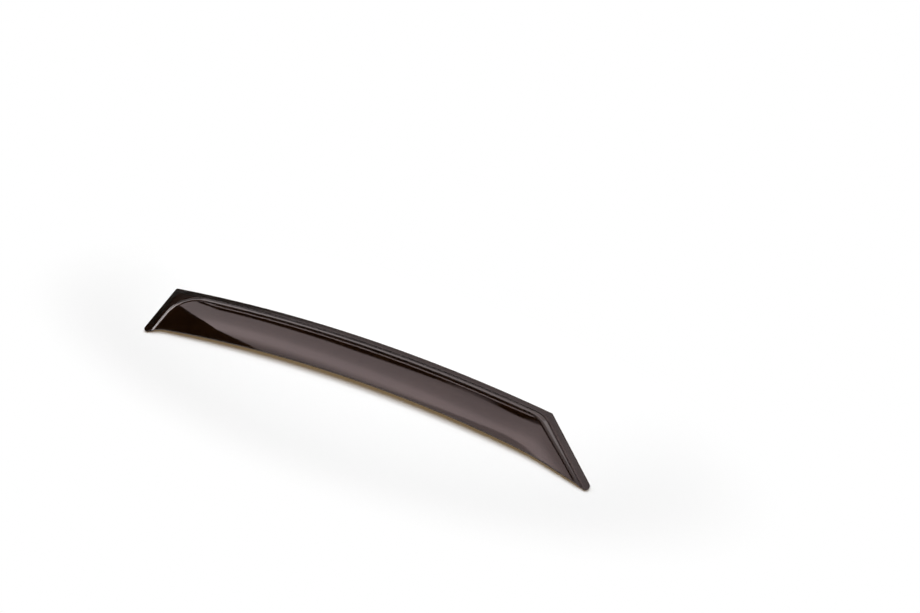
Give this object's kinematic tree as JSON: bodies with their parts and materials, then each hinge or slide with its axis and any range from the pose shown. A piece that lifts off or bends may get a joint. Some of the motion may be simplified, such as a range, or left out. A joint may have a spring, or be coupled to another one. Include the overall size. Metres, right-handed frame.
{
  "type": "window rain deflector",
  "caption": "Long smoked acrylic deflector for the top of a car door window: a taped flange, a rounded step and a raised panel with a free lower edge that sheds rain and lets air out.",
  "frame": {"origin": "middle of the footprint, on the surface that the tape lies on", "axes": "+X along the length towards the slanted end, +Y up the door towards the flange's top edge, +Z out from the door"},
  "size_m": [0.701, 0.1148, 0.0161],
  "materials": {
    "acrylic": "polished, smoked brown, slightly see-through",
    "tape": "closed-cell foam tape, matt"
  },
  "bodies": {
    "root": {"shield": "acrylic", "tape_top_left": "tape", "tape_top_middle": "tape", "tape_top_right": "tape", "tape_left": "tape", "tape_right": "tape"}
  },
  "joints": []
}
